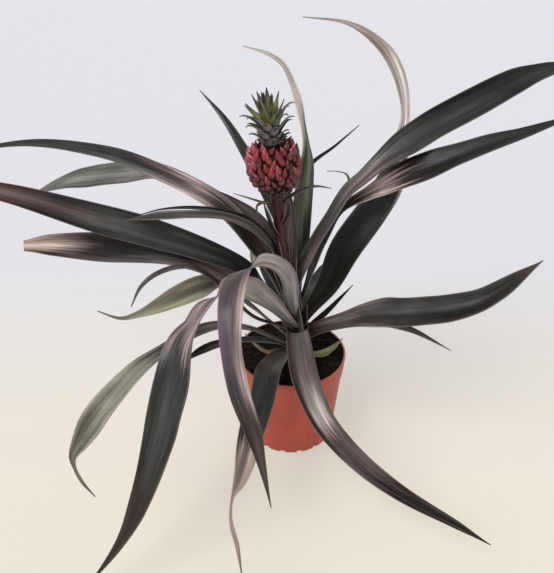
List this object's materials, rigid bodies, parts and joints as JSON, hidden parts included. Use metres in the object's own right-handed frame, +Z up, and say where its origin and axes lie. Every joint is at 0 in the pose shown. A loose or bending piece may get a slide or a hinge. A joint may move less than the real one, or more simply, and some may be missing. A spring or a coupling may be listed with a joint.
{
  "type": "potted pineapple plant",
  "caption": "Pineapple plant in a thin plastic nursery pot: a rosette of long arching leaves round a stalk with one young red fruit and its leafy crown.",
  "frame": {"origin": "middle of the pot's flat underside, on the floor", "axes": "+Z up; -Y is the front, the side the fruit is seen from; +X is to the right of that view"},
  "size_m": [0.6416, 0.4373, 0.4456],
  "materials": {
    "pot": "thin moulded terracotta-coloured plastic, satin",
    "peat": "damp near-black peat, rough and loose",
    "stalk": "dark red-brown living stem with greyish bracts, waxy",
    "fruit": "glossy red fruitlets, darker in the seams",
    "crown": "grey-green leaves with pale scurf, yellow-green at the heart",
    "blade_dark": "dark green to black leaf with fine lengthwise lines, satin",
    "blade_purple": "dark green leaf flushed purple, with pale pink margins and stripes, satin",
    "blade_pale": "pale grey-green underside with scurf, matt",
    "blade_dry": "dry tan papery leaf base"
  },
  "bodies": {
    "root": {"pot": "pot", "peat": "peat", "stalk": "stalk", "fruit": "fruit", "crown": "crown", "leaf_stub_right": "blade_pale", "leaf_stub_left": "blade_dry", "leaf_front_hanging": "blade_dark", "leaf_low_left": "blade_dark", "leaf_right_under": "blade_dark", "leaf_left_pale_low": "blade_pale", "leaf_back_low_left": "blade_dark", "leaf_right_wavy": "blade_purple", "leaf_left_curled": "blade_pale", "leaf_back_low_right": "blade_dark", "leaf_front_right": "blade_purple", "leaf_left_narrow": "blade_purple", "leaf_right_slim": "blade_dark", "leaf_left_blunt": "blade_purple", "leaf_left_front_broad": "blade_dark", "leaf_right_back_broad": "blade_dark", "leaf_left_broad": "blade_dark", "leaf_front_arch": "blade_purple", "leaf_back_slim": "blade_dark", "leaf_left_back_pale": "blade_pale", "leaf_left_long": "blade_purple", "leaf_right_striped": "blade_purple", "leaf_back_tall": "blade_dark", "leaf_right_high": "blade_dark", "leaf_left_slim_low": "blade_pale", "leaf_left_short": "blade_purple", "leaf_back_left_spear": "blade_dark", "leaf_right_hooked": "blade_dark", "leaf_left_slim_high": "blade_dark", "leaf_inner_back": "blade_purple"}
  },
  "joints": []
}
